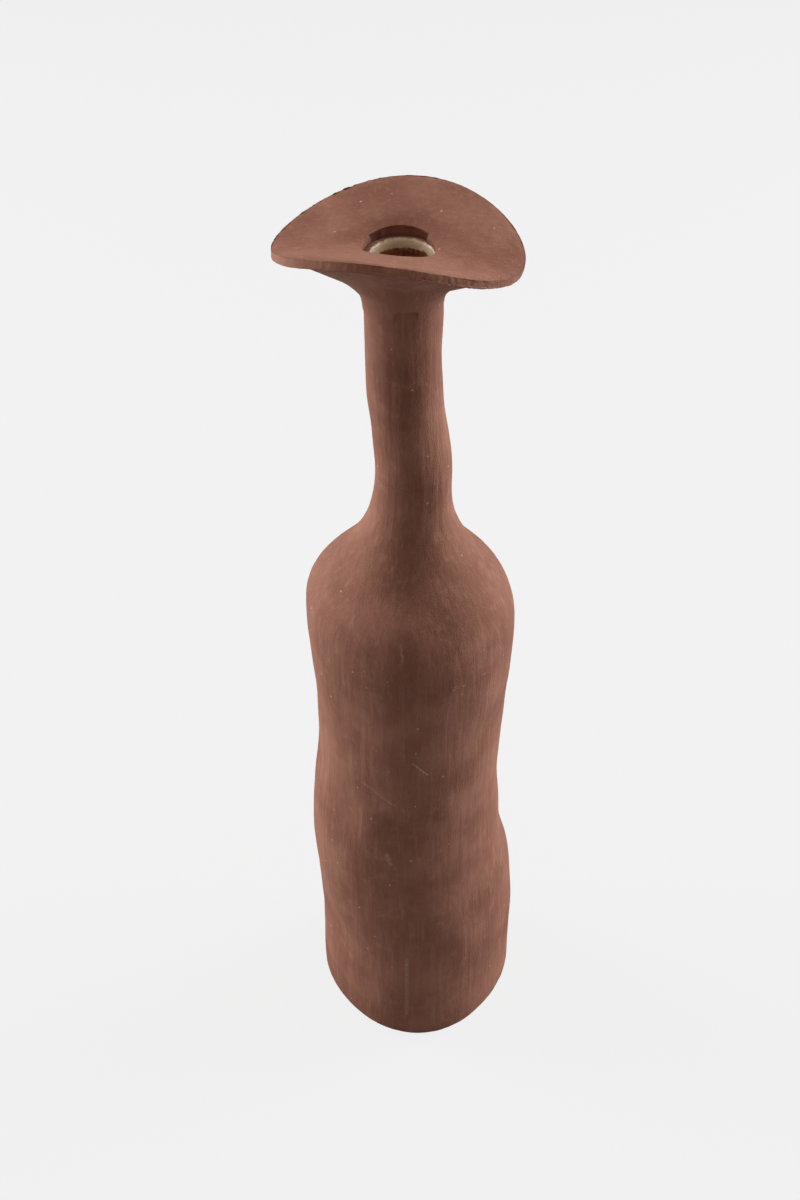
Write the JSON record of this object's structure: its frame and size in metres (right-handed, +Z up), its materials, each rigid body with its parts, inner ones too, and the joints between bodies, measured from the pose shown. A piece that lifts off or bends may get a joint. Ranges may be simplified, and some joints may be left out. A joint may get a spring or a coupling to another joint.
{
  "type": "ceramic bud vase",
  "caption": "Tall hand-built unglazed clay bud vase with a leaning bottle body, narrow neck and a wide folded brim round a small mouth.",
  "frame": {"origin": "middle of the foot, on the surface that the vase stands on", "axes": "+Z up along the vase, +X to the viewer's right, -Y to the front where the brim rises highest"},
  "size_m": [0.0812, 0.0746, 0.3407],
  "materials": {
    "clay": "bare matt red-brown stoneware",
    "glaze": "gloss cream glaze breaking to brown"
  },
  "bodies": {
    "root": {"base_slab": "clay", "floor_coil": "clay", "lower_wall": "clay", "middle_wall": "clay", "upper_wall": "clay", "shoulder_dome": "clay", "neck_root_coil": "clay", "neck_tube": "clay", "brim_collar": "clay", "brim": "clay", "inner_glaze": "glaze"}
  },
  "joints": []
}
